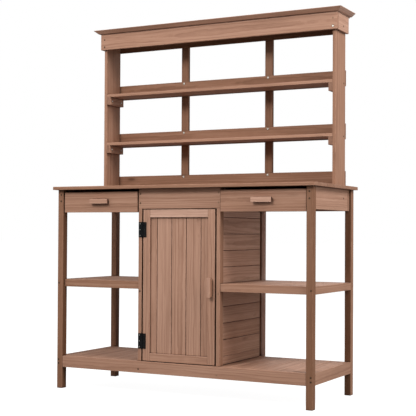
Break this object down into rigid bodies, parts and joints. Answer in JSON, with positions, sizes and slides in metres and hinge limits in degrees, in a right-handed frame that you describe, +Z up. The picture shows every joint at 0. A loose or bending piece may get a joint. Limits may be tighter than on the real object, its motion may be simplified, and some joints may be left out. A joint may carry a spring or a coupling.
{
  "type": "potting bench",
  "caption": "Stained wood potting bench with a shelved hutch, a worktop, drawers on wooden runners, a central cabinet with a hinged door, and open shelves and a slatted deck.",
  "frame": {"origin": "on the floor, under the middle of the worktop", "axes": "+Z up, -Y out of the front with the door and the drawers, +X to the right of someone who faces the front"},
  "size_m": [1.246, 0.498, 1.64],
  "materials": {
    "stained_wood": "reddish-brown stained softwood, matt, with visible grain",
    "wood_hidden": "the same stained softwood, darker and rougher, on pieces out of sight",
    "black_steel": "black powder coat",
    "zinc_steel": "zinc-plated, dull"
  },
  "bodies": {
    "bench": {"leg_front_left": "stained_wood", "leg_front_right": "stained_wood", "leg_rear_left": "stained_wood", "leg_rear_right": "stained_wood", "side_apron_left": "stained_wood", "side_apron_right": "stained_wood", "rear_apron": "stained_wood", "centre_apron": "stained_wood", "worktop_boards": "stained_wood", "bottom_rail_front": "stained_wood", "bottom_rail_rear": "stained_wood", "bottom_side_rails": "stained_wood", "deck_boards": "stained_wood", "deck_bearers": "wood_hidden", "left_shelf_rails": "stained_wood", "left_shelf_boards": "stained_wood", "right_shelf_rails": "stained_wood", "right_shelf_boards": "stained_wood", "cabinet_post_front_left": "stained_wood", "cabinet_post_front_right": "stained_wood", "cabinet_post_rear_left": "stained_wood", "cabinet_post_rear_right": "stained_wood", "cabinet_side_left": "stained_wood", "cabinet_side_right": "stained_wood", "cabinet_back_boards": "stained_wood", "cabinet_battens": "wood_hidden", "door_catch": "black_steel", "hinge_post_leaves": "black_steel", "hinge_pins": "black_steel", "bench_screws": "zinc_steel", "drawer_runners": "wood_hidden", "hutch_upright_left": "stained_wood", "hutch_upright_right": "stained_wood", "hutch_back_rails": "stained_wood", "hutch_slats": "stained_wood", "hutch_shelf_upper": "stained_wood", "hutch_shelf_lower": "stained_wood", "hutch_shelf_cleats": "stained_wood", "header_front": "stained_wood", "header_sides": "stained_wood", "crown_front": "stained_wood", "crown_ends": "stained_wood", "top_board": "stained_wood"},
    "drawer_left": {"drawer_left_front": "stained_wood", "drawer_left_pull": "stained_wood", "drawer_left_sides": "stained_wood", "drawer_left_back": "stained_wood", "drawer_left_bottom": "wood_hidden"},
    "drawer_right": {"drawer_right_front": "stained_wood", "drawer_right_pull": "stained_wood", "drawer_right_sides": "stained_wood", "drawer_right_back": "stained_wood", "drawer_right_bottom": "wood_hidden"},
    "door": {"door_boards": "stained_wood", "door_stiles": "stained_wood", "door_rails": "stained_wood", "door_handle": "stained_wood", "hinge_door_leaves": "black_steel", "door_screws": "zinc_steel", "catch_plate": "zinc_steel"}
  },
  "joints": [
    {"name": "drawer_left_slide", "type": "slide", "parent": "bench", "child": "drawer_left", "axis": [0, -1, 0], "range_m": [0, 0.26]},
    {"name": "drawer_right_slide", "type": "slide", "parent": "bench", "child": "drawer_right", "axis": [0, -1, 0], "range_m": [0, 0.26]},
    {"name": "door_hinge", "type": "hinge", "parent": "bench", "child": "door", "pos_m": [-0.1755, -0.2202, 0.467], "axis": [0, 0, -1], "range_deg": [0, 95]}
  ]
}
